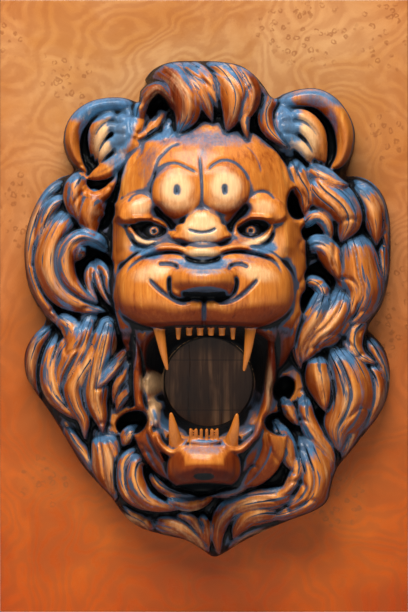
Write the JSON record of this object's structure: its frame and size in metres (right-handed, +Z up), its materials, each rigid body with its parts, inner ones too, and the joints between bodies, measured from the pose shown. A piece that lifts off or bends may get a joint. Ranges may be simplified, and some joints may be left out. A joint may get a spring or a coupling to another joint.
{
  "type": "wooden lion relief",
  "caption": "Roaring lion's head carved in wood, with open mouth and curling mane, on a flat burl-veneered panel.",
  "frame": {"origin": "centre of the panel's flat back face, where it is fixed to a wall, a door or a piece of furniture", "axes": "+Z up along the panel's height, +Y out of the back face, so the lion looks along -Y; +X to the viewer's right"},
  "size_m": [0.408, 0.1682, 0.612],
  "materials": {
    "carved_wood": "stained and lacquered, glossy",
    "dark_wood": "dark, glossy",
    "burl_veneer": "lacquered burl veneer, glossy"
  },
  "bodies": {
    "root": {"lion_head": "carved_wood", "mouth_board": "dark_wood", "burl_panel": "burl_veneer"}
  },
  "joints": []
}
